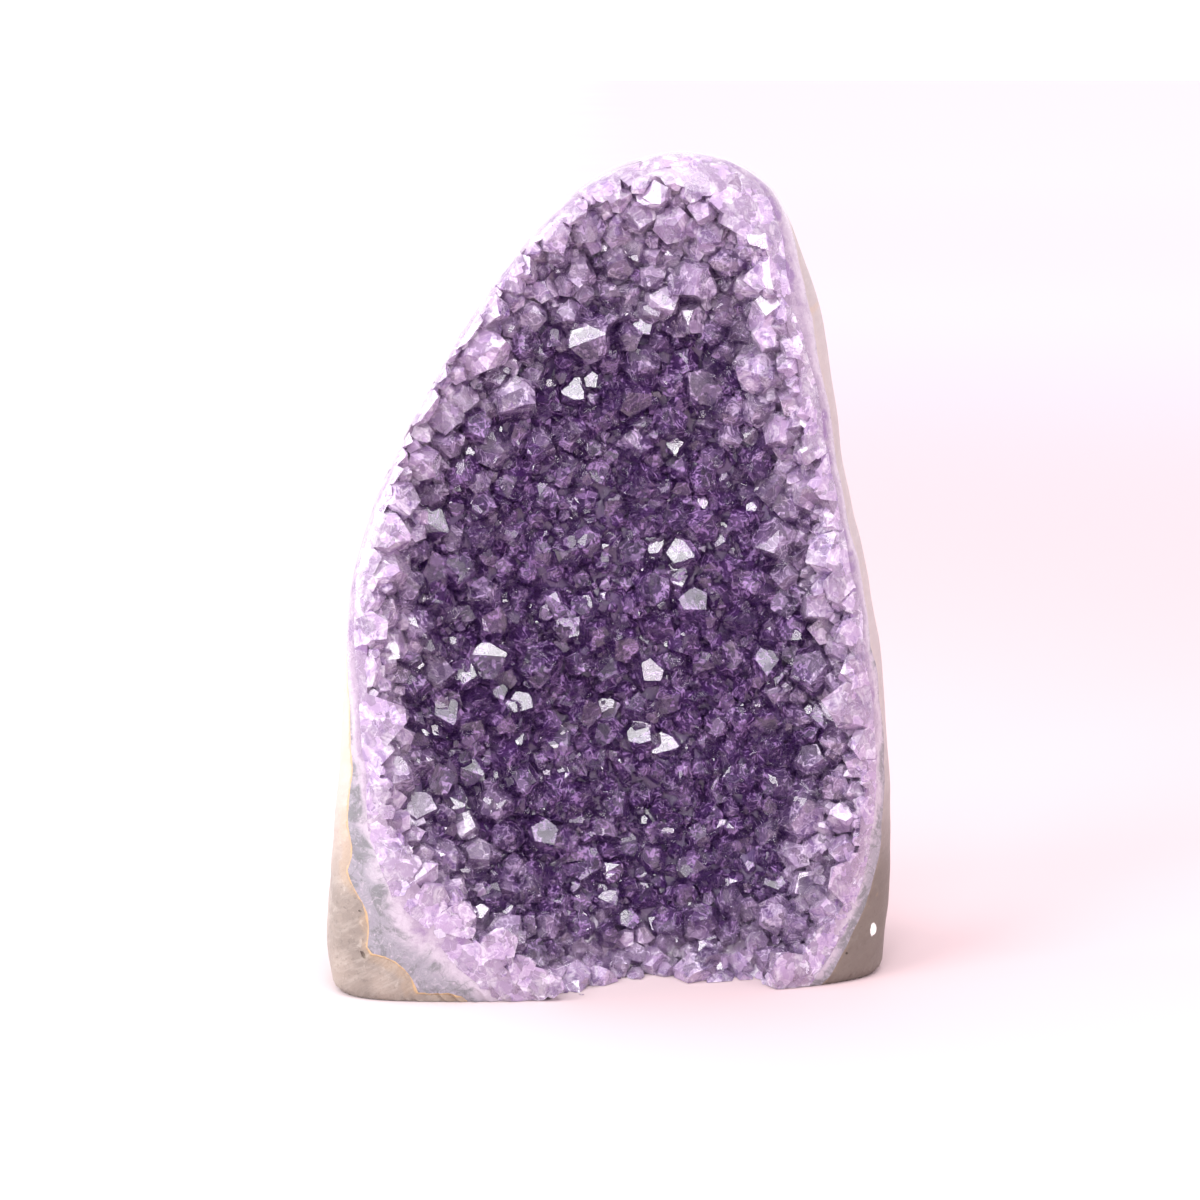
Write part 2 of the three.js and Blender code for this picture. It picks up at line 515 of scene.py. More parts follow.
class Shader:
    """The node tree of a material or of the world, built with few words."""

    def __init__(self, owner: Union[bpy.types.Material, bpy.types.World]) -> None:
        """Starts an empty tree.

        Args:
            owner: the material or world that the tree belongs to.
        """
        owner.use_nodes = True
        self.owner = owner
        self.tree = owner.node_tree
        self.tree.nodes.clear()
        kind = "World" if isinstance(owner, bpy.types.World) else "Material"
        self.output = self.node("Output" + kind, {}, {})
        self.coordinates = self.node("TexCoord", {}, {})
        self.place = self.sock(self.coordinates, "Object")

    def node(
        self, kind: str, settings: Mapping[str, Any], values: Mapping[Union[str, int], Any]
    ) -> bpy.types.Node:
        """Adds a node.

        Args:
            kind: the node's type, without ShaderNode in front.
            settings: the node's own properties, set first.
            values: values or links of its input sockets, by name or number.

        Returns:
            The node.
        """
        made = self.tree.nodes.new("ShaderNode" + kind)
        for name, setting in settings.items():
            setattr(made, name, setting)
        for name, value in values.items():
            if isinstance(value, Sock):
                self.tree.links.new(value.socket, made.inputs[name])
            elif isinstance(value, tuple) and made.inputs[name].type == "RGBA":
                made.inputs[name].default_value = (*value, 1.0)
            else:
                made.inputs[name].default_value = value
        return made

    def sock(self, node: bpy.types.Node, output: Union[str, int]) -> Sock:
        """Wraps one of a node's outputs."""
        return Sock(self, node.outputs[output])

    def number(self, name: str) -> Sock:
        """Reads a float attribute of the mesh."""
        return self.sock(self.node("Attribute", {"attribute_name": name}, {}), "Fac")

    def noise(
        self, scale: float, detail: float = 3.0, roughness: float = 0.55, warp: float = 0.0,
        at: Optional[Sock] = None,
    ) -> Sock:
        """Adds a noise.

        Args:
            scale: its features per metre.
            detail: how many finer noises are laid over it.
            roughness: how strong those are.
            warp: how far it is distorted.
            at: the place that it reads, in metres.

        Returns:
            The noise, from about 0 to 1.
        """
        values = {
            "Vector": at or self.place, "Scale": scale, "Detail": detail,
            "Roughness": roughness, "Distortion": warp,
        }
        return self.sock(self.node("TexNoise", {}, values), "Fac")

    def cells(self, scale: float, feature: str = "F1", at: Optional[Sock] = None) -> Sock:
        """Adds the distance of a cell pattern; scale is in cells per metre."""
        values = {"Vector": at or self.place, "Scale": scale}
        return self.sock(self.node("TexVoronoi", {"feature": feature}, values), "Distance")

    def distance_from(self, centre: tuple[float, float, float]) -> Sock:
        """Returns the distance from a point, in metres."""
        return self.vector("DISTANCE", self.place, centre)

    def along(self, axis: int) -> Sock:
        """Returns the place along x, y or z, in metres."""
        return self.vector("DOT_PRODUCT", self.place, tuple(float(axis == k) for k in range(3)))

    def swirled(self, scale: float, amount: float) -> Sock:
        """Pushes the place about by a noise.

        Args:
            scale: the noise's features per metre.
            amount: the longest push, in metres.

        Returns:
            The new place.
        """
        push = self.node("TexNoise", {}, {"Vector": self.place, "Scale": scale, "Detail": 2.0})
        centred = self.vector("SUBTRACT", self.sock(push, "Color"), (0.5, 0.5, 0.5))
        scaled = self.vector("MULTIPLY", centred, (2 * amount,) * 3)
        return self.vector("ADD", self.place, scaled)

    def vector(self, operation: str, first: Any, second: Any) -> Sock:
        """Adds one Vector Math node.

        Args:
            operation: what it does.
            first: its first vector.
            second: its second vector.

        Returns:
            The number or the vector that comes out.
        """
        made = self.node("VectorMath", {"operation": operation}, {0: first, 1: second})
        gives_number = operation in ("DOT_PRODUCT", "DISTANCE")
        return self.sock(made, "Value" if gives_number else "Vector")

    def shards(self, scale: float, at: Sock) -> Sock:
        """Adds a cell pattern whose colour is random and even over each cell."""
        made = self.node("TexVoronoi", {}, {"Vector": at, "Scale": scale})
        return self.sock(made, "Color")

    def tilted(self, shard: Sock, slope: float) -> Sock:
        """Returns a height whose slope differs at random from shard to shard."""
        centred = self.vector("SUBTRACT", shard, (0.5, 0.5, 0.5))
        return self.vector("DOT_PRODUCT", self.place, centred) * (2 * slope)

    def mix(self, share: Value, low: Shade, high: Shade) -> Sock:
        """Mixes two colours by a share."""
        made = self.node("Mix", {"data_type": "RGBA"}, {0: share, 6: low, 7: high})
        return self.sock(made, 2)

    def layered(self, base: Sock, *layers: tuple[Value, Colour]) -> Sock:
        """Lays colours over a base.

        Args:
            base: the colour underneath.
            layers: the share and the colour of each layer, the lowest first.

        Returns:
            The colour on top.
        """
        for share, colour in layers:
            base = self.mix(share, base, colour)
        return base

    def bump(self, height: Sock, strength: float, distance: float) -> Sock:
        """Adds a Bump node; distance is in metres."""
        values = {"Height": height, "Strength": strength, "Distance": distance}
        return self.sock(self.node("Bump", {}, values), "Normal")

    def principled(self, values: Mapping[str, Any]) -> Sock:
        """Adds a Principled BSDF."""
        return self.sock(self.node("BsdfPrincipled", {}, values), "BSDF")

    def finish(
        self, surface: Sock, volume: Optional[Sock] = None
    ) -> Union[bpy.types.Material, bpy.types.World]:
        """Links the output.

        Args:
            surface: what the surface shows.
            volume: what fills the inside.

        Returns:
            The finished material or world.
        """
        self.tree.links.new(surface.socket, self.output.inputs["Surface"])
        if volume is not None:
            self.tree.links.new(volume.socket, self.output.inputs["Volume"])
        return self.owner


# ---- Finishes ----------------------------------------------------------------------------


@dataclass(frozen=True)
class BasaltFinish:
    """Ground grey-brown basalt with flecks, grinding marks, a rusty skin along the agate and painted
    light: a paler left front, a darker right foot and a white glint.
    """

    grey: Colour = (0.205, 0.168, 0.147)
    tan: Colour = (0.315, 0.255, 0.218)
    dark: Colour = (0.085, 0.065, 0.055)
    pale: Colour = (0.43, 0.38, 0.34)
    ochre: Colour = (0.48, 0.31, 0.16)
    ash: Colour = (0.46, 0.40, 0.43)
    # a pale warm colour that paints the light from the lamps on the left onto the left front
    painted_left_light: Colour = (0.66, 0.53, 0.47)
    # white paints the glint: a lamp's reflection on the right foot's front, painted as a white spot
    white: Colour = (0.85, 0.82, 0.80)
    foot: tuple[float, float, float] = (-0.044, -0.02, 0.012)  # where the rust is strongest
    press: float = 0.55  # heights round the painted glint are pressed by this, so it is a tall oval
    painted_glint: tuple[float, float, float] = (0.0465, 0.0, 0.0048)  # the painted glint's middle, with the height pressed

    def material(self) -> bpy.types.Material:
        """Builds the material, which reads `seam`, the distance to the agate in millimetres.

        Returns:
            The material.
        """
        s = Shader(bpy.data.materials.new("basalt"))
        seam = s.number("seam")
        broad = s.noise(60, 4, 0.6, 0.6)
        grain = s.noise(1300, 3, 0.7)
        turned = s.node(
            "VectorRotate", {"rotation_type": "Y_AXIS"},
            {"Vector": s.swirled(60, 0.004), "Angle": 0.7},
        )
        marks = s.vector("MULTIPLY", s.sock(turned, 0), (1.0, 1.0, 5.0))
        marks = s.noise(170, 5, 0.7, at=marks)
        flecks = s.noise(560, 3, 0.6, 0.5)
        # low, front, right and left mark where the painted light, painted shade and painted glint go
        low = s.along(2).step(0.045, 0.015)
        front = s.along(1).step(0.016, 0.0)
        right, left = s.along(0).step(0.0, 0.045), s.along(0).step(-0.03, -0.045)
        # the painted glint, a lamp's reflection, is measured in a plane pressed in height, so it is a
        # tall oval
        flat = s.vector("MULTIPLY", s.place, (1.0, 0.0, self.press))
        painted_glint = s.vector("DISTANCE", flat, self.painted_glint) + (flecks - 0.5) * 0.0008
        near = s.distance_from(self.foot).step(0.062, 0.03) * 0.93 + 0.07
        rust = (seam + (s.noise(420, 3, 0.6) - 0.5) * 1.3).step(0.42, 0.12) * near
        stain = (seam + (s.noise(160, 3) - 0.5) * 9).step(2.2, 0.2) * near
        spots = s.noise(130, 4, 0.62, 0.5).step(0.62, 0.72)
        colour = s.layered(
            s.mix(broad.step(0.32, 0.70), self.grey, self.tan),
            (marks.step(0.42, 0.68) * 0.35, self.pale),
            (grain.step(0.52, 0.74) * 0.4, self.dark),
            (flecks.step(0.60, 0.70) * 0.4, self.pale),
            (flecks.step(0.34, 0.27) * 0.5, self.dark),
            # painted shade: the right foot is darker, away from the lamps on the left
            (right * low * 0.74, self.dark),
            (right * front * (1 - low) * 0.6, self.ash),
            # painted light: the left front above the foot is paler and warmer where the lamps on the
            # left fall
            (left * front * (1 - low) * 0.6, self.painted_left_light),
            # painted glint: a lamp's reflection on the right foot, painted in white on the front only
            (painted_glint.step(0.0007, 0.0005) * front, self.white),
            (stain * 0.22 + spots * 0.25, self.ochre),
            (rust * 0.85, self.ochre),
        )
        height = grain * 0.25 + flecks * 0.5 + marks * 0.4 + rust * 0.6
        values = {
            "Base Color": colour,
            "Roughness": broad * 0.2 + flecks * 0.15 + 0.3,
            "IOR": 1.5,
            "Normal": s.bump(height, 0.45, 0.0004),
        }
        return s.finish(s.principled(values))


@dataclass(frozen=True)
class RimColours:
    """The colours across the ground rim, from the agate's outer edge to the crystals."""

    slate: Colour = (0.13, 0.13, 0.14)
    blue: Colour = (0.24, 0.22, 0.26)
    white: Colour = (0.43, 0.365, 0.435)
    lavender: Colour = (0.30, 0.23, 0.315)
    mauve: Colour = (0.17, 0.11, 0.19)
    purple: Colour = (0.17, 0.085, 0.23)

    def across(self, s: Shader, share: Sock) -> Sock:
        """Colours the rim.

        Args:
            s: the shader that the nodes go into.
            share: 0 at the agate's outer edge to 1 at the crystals.

        Returns:
            The colour, which passes from agate to quartz without a line.
        """
        clouds = s.noise(130, 5, 0.62, 0.9)
        wisps = s.noise(430, 5, 0.66, 1.8)
        place = share + (clouds - 0.5) * 0.9 + s.along(2).step(0.02, 0.06) * 0.45
        patch = s.noise(170, 5, 0.68, 1.4).step(0.46, 0.60) * place.step(0.62, 0.30)
        vein = s.cells(150, "DISTANCE_TO_EDGE", s.swirled(200, 0.004)).step(0.035, 0.0)
        vein = vein * s.noise(90, 2).step(0.48, 0.56) * place.step(0.7, 0.3)
        drift = s.swirled(260, 0.0024)
        pick = s.vector("DOT_PRODUCT", s.shards(230, drift), (1.0, 0.0, 0.0))
        heart = s.cells(230, "DISTANCE_TO_EDGE", drift).step(0.02, 0.3)
        cut = heart * pick.step(0.45, 0.6) * (wisps * 0.9 + 0.35) * place.step(0.55, 0.85)
        fleck = s.noise(950, 3, 0.75)
        speck = s.cells(800).step(0.2, 0.08) * s.noise(300, 2).step(0.46, 0.56)
        return s.layered(
            s.mix(place.step(0.15, 0.55), self.blue, self.white),
            (place.step(0.5, 0.8), self.lavender),
            (place.step(0.75, 1.1) * (wisps * 0.8 + 0.4), self.mauve),
            (patch * 0.85, self.slate),
            (vein * 0.6, self.slate),
            (cut, self.purple),
            (wisps.step(0.54, 0.66) * 0.45, self.white),
            (fleck.step(0.50, 0.34) * 0.35 * (place * 0.6 + 0.4), self.mauve),
            (fleck.step(0.56, 0.70) * 0.35, self.white),
            (speck * 0.7, self.white),
        )


@dataclass(frozen=True)
class RimFinish:
    """Ground and polished agate or milky quartz; below the rim the quartz turns deep purple."""

    name: str
    deep: Colour = (0.060, 0.026, 0.11)

    def material(self) -> bpy.types.Material:
        """Builds the material, which reads `across`, the rim's share, and `rim`, the depth.

        Returns:
            The material.
        """
        s = Shader(bpy.data.materials.new(self.name))
        colour = RimColours().across(s, s.number("across"))
        colour = s.mix(s.number("rim").step(3.0, 13.0) * 0.95, colour, self.deep)
        fine = s.noise(520, 4, 0.65, 1.2)
        values = {
            "Base Color": colour,
            "Roughness": fine * 0.2 + 0.16,
            "IOR": 1.54,
            "Coat Weight": 0.4,
            "Coat Roughness": 0.1,
            "Normal": s.bump(fine + s.noise(130, 3), 0.3, 0.0003),
        }
        return s.finish(s.principled(values))


@dataclass(frozen=True)
class AmethystFinish:
    """Clear to milky purple quartz crystals, pale at the rim and deep in the hollow."""

    pale: Colour = (0.95, 0.88, 0.96)
    deep: Colour = (0.66, 0.50, 0.82)
    veil_pale: Colour = (0.46, 0.32, 0.53)
    veil_deep: Colour = (0.053, 0.0165, 0.096)
    heart: Colour = (0.13, 0.05, 0.25)
    streak_pale: Colour = (0.80, 0.71, 0.84)
    streak_deep: Colour = (0.265, 0.155, 0.345)
    absorbs: Colour = (0.55, 0.25, 0.70)
    density: float = 132.0

    def material(self) -> bpy.types.Material:
        """Builds the material, which reads a crystal's `tone` and `rim`, the distance inwards.

        Returns:
            The material.
        """
        s = Shader(bpy.data.materials.new("amethyst"))
        tone, rim = s.number("tone"), s.number("rim")
        clouds = s.noise(200, 3, 0.6, 0.8)
        wisps = s.noise(520, 4, 0.70, 1.8)
        shard = s.shards(400, s.swirled(420, 0.0024))
        cloudy = s.vector("DOT_PRODUCT", shard, (1.0, 0.0, 0.0))
        bright = s.vector("DOT_PRODUCT", shard, (0.0, 1.0, 0.0))
        depth = (rim + (clouds - 0.5) * 9 + (tone - 0.5) * 9).step(0.5, 13.5)
        crack = s.cells(420, "DISTANCE_TO_EDGE", s.swirled(300, 0.0014)).step(0.03, 0.0)
        crack = crack * s.noise(330, 2).step(0.46, 0.56)
        streak = s.mix(depth, self.streak_pale, self.streak_deep)
        fine = wisps.step(0.52, 0.60) * 0.8 + bright.step(0.70, 0.74) * 0.5 + crack
        haze = s.noise(420, 4, 0.72, 0.8)
        lit = fine * (depth * 0.8 + 0.2) + haze.step(0.46, 0.66) * (1 - depth) * 0.8
        heart = s.noise(270, 4, 0.66, 0.8).step(0.50, 0.62) * (0.5 + tone * 0.4)
        pale = s.mix(heart, self.veil_pale, self.heart)
        veil_colour = s.mix(lit, s.mix(depth, pale, self.veil_deep), streak)
        inner = s.bump(s.tilted(shard, 0.5), 1.0, 1.0)
        gloss = {
            "IOR": 1.544,
            "Normal": inner,
            "Specular IOR Level": 0.25,
            "Coat Weight": 1.0,
            "Coat Roughness": 0.0,
            "Coat IOR": 1.544,
        }
        clear = s.principled({
            "Base Color": s.mix(depth, self.pale, self.deep),
            "Roughness": 0.0,
            "Transmission Weight": 1.0,
            **gloss,
        })
        soft = {**gloss, "Normal": s.bump(s.tilted(shard, 0.25), 1.0, 1.0)}
        milky = s.principled({"Base Color": veil_colour, "Roughness": 0.25, **soft})
        veil = cloudy.step(0.48, 0.56) * 0.40 + wisps.step(0.49, 0.60) * depth * 0.40 + crack * 0.4
        veil = veil * (depth * 0.4 + 0.6) + (1 - depth) * 0.40 + tone * 0.12 + 0.06
        surface = s.node("MixShader", {}, {0: veil, 1: clear, 2: milky})
        volume = s.node("VolumeAbsorption", {}, {"Color": self.absorbs, "Density": self.density})
        return s.finish(s.sock(surface, 0), s.sock(volume, 0))


@dataclass(frozen=True)
class BackdropFinish:
    """The pale floor."""

    white: Colour = (0.60, 0.545, 0.555)
    pink: Colour = (0.60, 0.46, 0.48)
    far_white: Colour = (0.90, 0.88, 0.89)
    far_pink: Colour = (0.90, 0.75, 0.82)
    edge: Colour = (0.90, 0.815, 0.87)

    def material(self) -> bpy.types.Material:
        """Builds the material, which turns faintly pink on the right and pales far behind.

        Returns:
            The material.
        """
        s = Shader(bpy.data.materials.new("pale_floor"))
        across = s.along(0) + s.noise(3, 2) * 0.1
        right = across.step(-0.06, 0.12)
        away = s.distance_from((0.0, 0.0, 0.0))
        far = s.mix(right, self.far_white, s.mix(away.step(1.2, 3.2), self.far_pink, self.edge))
        tint = s.mix(away.step(0.25, 1.5), s.mix(right, self.white, self.pink), far)
        return s.finish(s.principled({"Base Color": tint, "Roughness": 0.8}))


# ---- Crystals ----------------------------------------------------------------------------


@dataclass(frozen=True)
class Crystal:
    """One quartz crystal: a six-sided prism with a point of six unequal faces."""

    root: Vector
    axis: Vector
    radius: float
    shoulder: float
    twist: float
    offsets: tuple[float, ...]
    tone: float
    buried: float = 2.6
    point: float = 1.1  # the point's height over the radius
    foot: float = 1.02  # the prism's radius at its lower and upper ends, over the radius
    head: float = 0.97

    def mesh(self) -> bpy.types.Mesh:
        """Builds the crystal with its tone on its faces, in millimetres.

        Returns:
            The closed mesh.
        """
        top = self.buried + self.shoulder + self.point * self.radius
        bm = bmesh.new()
        bmesh.ops.create_cone(
            bm, cap_ends=True, segments=6, radius1=self.radius * self.foot,
            radius2=self.radius * self.head, depth=top + self.radius,
        )
        bmesh.ops.translate(bm, verts=bm.verts, vec=(0, 0, (top + self.radius) / 2))
        for side, offset in enumerate(self.offsets):
            turn = math.tau * side / 6
            lean = math.sin(RHOMB_ANGLE)
            flat = (lean * math.cos(turn), lean * math.sin(turn))
            normal = Vector((*flat, math.cos(RHOMB_ANGLE)))
            cut_flat(bm, Vector((0, 0, top)) + normal * offset * self.radius, normal, 1e-5)
        turned = self.axis.to_track_quat("Z", "Y").to_matrix().to_4x4()
        spun = Matrix.Rotation(self.twist, 4, "Z")
        start = Matrix.Translation(self.root - self.axis * self.buried)
        bmesh.ops.transform(bm, matrix=start @ turned @ spun, verts=bm.verts)
        tone = bm.faces.layers.float.new("tone")
        for face in bm.faces:
            face[tone] = self.tone
        return mesh_of(bm, "crystal")


@dataclass(frozen=True)
class CrystalSize:
    """One size class of crystals: radii in millimetres, how many and how tall over the radius."""

    radius: tuple[float, float]
    most: int
    shaft: tuple[float, float]


@dataclass
class Druse:
    """The crystals that line the hollow, rooted in the bed."""

    form: StoneForm
    edge: Edge
    surface: BVHTree
    seed: int = 7
    sizes: tuple[CrystalSize, ...] = (
        CrystalSize((3.7, 4.8), 30, (0.2, 0.8)),
        CrystalSize((2.8, 3.7), 260, (0.0, 0.8)),
        CrystalSize((2.0, 2.8), 700, (-0.1, 0.8)),
        CrystalSize((1.3, 2.0), 1100, (0.0, 1.0)),
        CrystalSize((0.8, 1.3), 1300, (0.0, 1.4)),
    )
    spacing: float = 0.66  # between neighbours' axes, over the sum of their radii
    tilt: float = 0.3
    tries: int = 9
    crowding: float = 0.42  # at 0.5 they spread evenly, and less brings more to the rim
    lowest: float = -3.0  # no crystal roots further below the sawn base, in millimetres
    overrun: float = 1.08  # how far past the bed's edge crystals grow, over its radius
    inside: float = 0.975  # the ring from which they root under the ground rim
    under: float = 2.0  # how deep they root there, in millimetres
    forward: float = 2.0  # how strongly they turn to the front there
    rooted: float = 2.6
    deeper: float = 5.0  # how much deeper some go near the rim
    deeper_from: float = 0.8
    deeper_run: float = 0.2
    twin_radius: float = 2.4  # crystals above this size have a twin beside them at times
    twin_share: float = 0.5
    cell: float = 9.0  # the grid in which near neighbours are looked up, in millimetres

    def root(self, around: float, ring: float) -> Optional[Vector]:
        """Finds where a crystal roots: on the bed or, past its edge, just under the ground rim.

        Args:
            around: the share of the way round.
            ring: the share of the way from the middle to the bed's edge.

        Returns:
            The place, or None off the stone.
        """
        if ring < self.inside:
            return self.form.bed_point(self.edge, around, ring)
        flat = self.form.middle + (self.edge.at(around) - self.form.middle) * ring
        hit = self.surface.ray_cast(Vector((flat.x, -100, flat.y)), Vector((0, 1, 0)))[0]
        return hit and hit + Vector((0, self.under, 0))

    def normal(self, around: float, ring: float) -> Vector:
        """Finds the direction straight out of the bed.

        Args:
            around: the share of the way round.
            ring: the share of the way from the middle to the edge.

        Returns:
            The direction.
        """
        here = self.form.bed_point(self.edge, around, ring)
        onward = self.form.bed_point(self.edge, around + 0.01, ring) - here
        inward = self.form.bed_point(self.edge, around, ring - 0.01) - here
        out = inward.cross(onward).normalized()
        return out if out.y < 0 else -out

    def grow(self) -> list[Crystal]:
        """Sets crystals out over the bed, large ones first and small ones in the gaps.

        Returns:
            The crystals.
        """
        rng = random.Random(self.seed)
        grown: list[Crystal] = []
        cells: dict[tuple[int, int, int], list[Crystal]] = {}
        for size in self.sizes:
            made = 0
            for _ in range(size.most * self.tries):
                if made == size.most:
                    break
                ring = rng.random() ** self.crowding * self.overrun
                around, radius = rng.random(), rng.uniform(*size.radius)
                root = self.root(around, ring)
                if root is None:
                    continue
                cell = tuple(math.floor(value / self.cell) for value in root)
                near = (
                    other
                    for dx in (-1, 0, 1) for dy in (-1, 0, 1) for dz in (-1, 0, 1)
                    for other in cells.get((cell[0] + dx, cell[1] + dy, cell[2] + dz), ())
                )
                if root.z < self.lowest or any(
                    (other.root - root).length < self.spacing * (other.radius + radius)
                    for other in near
                ):
                    continue
                out = self.normal(around, min(self.inside, max(ring, 0.02)))
                if ring > self.inside:
                    out = (out + Vector((0, -self.forward, 0))).normalized()
                crystal = self.crystal(rng, root, out, radius, size, ring)
                cells.setdefault(cell, []).append(crystal)
                grown.append(crystal)
                made += 1
                if radius > self.twin_radius and rng.random() < self.twin_share:
                    grown.append(self.twin(rng, crystal))
        return grown

    def crystal(
        self, rng: random.Random, root: Vector, out: Vector, radius: float, size: CrystalSize,
        ring: float,
    ) -> Crystal:
        """Makes one crystal that leans at random.

        Args:
            rng: what its chances are drawn from.
            root: where it roots.
            out: the direction straight out of the bed.
            radius: its radius.
            size: its size class.
            ring: the share of the way from the middle to the bed's edge.

        Returns:
            The crystal.
        """
        lean = Vector((rng.gauss(0, 1), rng.gauss(0, 1), rng.gauss(0, 1))) * self.tilt
        offsets = tuple(
            rng.uniform(-0.18, 0.14) if side % 2 == 0 else rng.uniform(0.0, 0.45)
            for side in range(6)
        )
        extra = self.under if ring > self.inside else 0
        near_rim = clamped((ring - self.deeper_from) / self.deeper_run)
        return Crystal(
            root=root,
            axis=(out + lean).normalized(),
            radius=radius,
            shoulder=radius * rng.uniform(*size.shaft) + extra,
            twist=rng.uniform(0, math.tau / 3),
            offsets=offsets,
            tone=rng.random(),
            buried=self.rooted + self.deeper * rng.random() * near_rim,
        )

    def twin(self, rng: random.Random, host: Crystal) -> Crystal:
        """Makes a smaller crystal that grows beside a large one with nearly the same axes.

        Args:
            rng: what its chances are drawn from.
            host: the large crystal.

        Returns:
            The smaller one.
        """
        side = host.axis.orthogonal().normalized()
        side.rotate(Matrix.Rotation(rng.uniform(0, math.tau), 3, host.axis))
        radius = host.radius * rng.uniform(0.4, 0.65)
        return Crystal(
            root=host.root + side * host.radius * rng.uniform(0.5, 0.9),
            axis=(host.axis + side * rng.uniform(0.0, 0.12)).normalized(),
            radius=radius,
            shoulder=host.shoulder + host.radius * rng.uniform(-0.1, 0.35),
            twist=host.twist,
            offsets=host.offsets,
            tone=(host.tone + rng.uniform(-0.1, 0.1)) % 1.0,
        )

    def solid(self) -> bpy.types.Mesh:
        """Grows the crystals together.

        Returns:
            One solid.
        """
        meshes = [crystal.mesh() for crystal in self.grow()]
        LOG.info("%d crystals", len(meshes))
        return combined(meshes[0], meshes[1:], Joining.UNION)


# ---- The geode's pieces ------------------------------------------------------------------


@dataclass
class Geode:
    """The stone's solids before they are cut apart, and the pieces cut from them."""

    form: StoneForm
    around: int = 320
    across: int = 160
    bowl_around: int = 260
    bowl_across: int = 120
    broad_relief: Lumps = Lumps(1.3, 34, 2, 1.0)
    small_relief: Lumps = Lumps(0.3, 9, 2, 6.0)
    relief_run: float = 22.0  # how far behind the rim the relief is full
    rim_broad: float = 0.15  # the shares of both reliefs that are left on the rim
    rim_small: float = 0.3
    worn: float = 0.4  # how much is ground off, in millimetres
    rock_lumps: Lumps = Lumps(0.7, 8, 3, 4.0)
    quartz_lumps: Lumps = Lumps(0.9, 9, 3, 9.0)
    bed_lumps: Lumps = Lumps(0.8, 7, 2, 2.0)
    bed_grain: Lumps = Lumps(0.35, 1.8, 1, 5.0)
    lobes_at: tuple[float, float] = (-35.0, 6.0)  # the middle of the agate's lobes, and their reach
    lobes_reach: float = 26.0
    lobe_start: tuple[float, float] = (-41.5, 9.6)  # the first cusp between two lobes
    lobe_way: tuple[float, float] = (0.76, -0.65)  # the direction in which they follow each other
    lobe_width: float = 11.3
    lobe_height: float = 3.6
    proud: float = 0.06  # how far the crystals stand over the ground rim
    seam_reach: float = 12.0  # distances are told apart up to here: on the basalt,
    band_reach: float = 30.0  # across a layer
    rim_reach: float = 40.0  # and from the rim inwards
    # the small holes in the basalt: across and up from the base's middle, size and turn
    vug_places: tuple[tuple[float, float, float, float], ...] = (
        (-43.2, 26.6, 1.3, 75),
        (-42.6, 29.5, 0.7, 60),
        (-37.6, 8.4, 0.9, 20),
        (-43.5, 8.2, 0.8, 50),
        (-33.2, 4.4, 0.5, 70),
        (-44.0, 16.0, 0.4, 10),
        (42.0, 5.5, 0.4, 30),
    )

    def __post_init__(self) -> None:
        """Builds the whole stone and what fills each bowl."""
        form = self.form
        self.stone_edge = form.edge(lambda station: station.stone)
        self.bed_edge = form.edge(lambda station: station.bed)
        rock_edge = form.edge(lambda station: station.rock)
        quartz_edge = form.edge(
            lambda station: tuple(
                lerp(bed, rock, form.quartz_share)
                for bed, rock in zip(station.bed, station.rock)
            )
        )
        self.seat = self.measured_seat()
        self.stone = self.whole_stone(0.0)
        quartz_depth = form.bed_depth + form.quartz_thickness
        rock_depth = quartz_depth + form.agate_thickness
        self.rock_plug = self.plug(rock_edge, rock_depth, self.rock_lumps, self.lobes)
        self.quartz_plug = self.plug(quartz_edge, quartz_depth, self.quartz_lumps)
        self.bed_plug = self.plug(self.bed_edge, form.bed_depth, self.bed_lumps, self.bed_grain)

    def lobes(self, p: Vector) -> float:
        """Works out the agate's outer lobes at the left foot, which meet the rock in cusps.

        Args:
            p: a point of the agate's outside.

        Returns:
            How far it is moved out.
        """
        flat = Vector((p.x, p.z))
        foot = max(0.0, 1 - (flat - Vector(self.lobes_at)).length / self.lobes_reach)
        along = (flat - Vector(self.lobe_start)).dot(Vector(self.lobe_way))
        cusp = 1 - abs(math.sin(math.pi * along / self.lobe_width)) ** 0.8
        return min(1.0, 2.5 * foot) * (self.lobe_height * cusp - self.lobe_height / 4)

    def measured_seat(self) -> Seat:
        """Measures the plain form's box, which the frame's box answers to.

        Returns:
            The seat that sets one on the other.
        """
        bm = self.plain_stone(96, 48)
        above = [vert.co for vert in bm.verts if vert.co.z >= 0]
        low = Vector([min(co[axis] for co in above) for axis in range(3)])
        high = Vector([max(co[axis] for co in above) for axis in range(3)])
        bm.free()
        low.z = 0.0
        return Seat(low, high)

    def plain_stone(self, around: int, across: int) -> bmesh.types.BMesh:
        """Makes the stone's outside without relief.

        Args:
            around: facets round the edge.
            across: facets from front to back.

        Returns:
            The closed shape.
        """
        form = self.form
        return form.pressed_sphere(
            self.stone_edge,
            form.stone_depth,
            lambda pole: form.lip_squareness if pole < 0 else form.back_squareness,
            around,
            across,
        )

    def whole_stone(self, grow: float) -> bpy.types.Mesh:
        """Makes the whole stone with its ground relief and its sawn base.

        Args:
            grow: how far its surface is moved out, in millimetres.

        Returns:
            The closed mesh.
        """
        form = self.form
        bm = self.plain_stone(self.around, self.across)

        def relief(p: Vector) -> float:
            """Works out the ground relief, which is low on the rim and full on the back.

            Args:
                p: a point of the stone's outside.

            Returns:
                How far it is moved out.
            """
            back = clamped((p.y - form.rim_plane(p.x, p.z)) / self.relief_run)
            broad = (self.broad_relief(p) - self.worn) * lerp(self.rim_broad, 1.0, back)
            return broad + self.small_relief(p) * lerp(self.rim_small, 1.0, back)

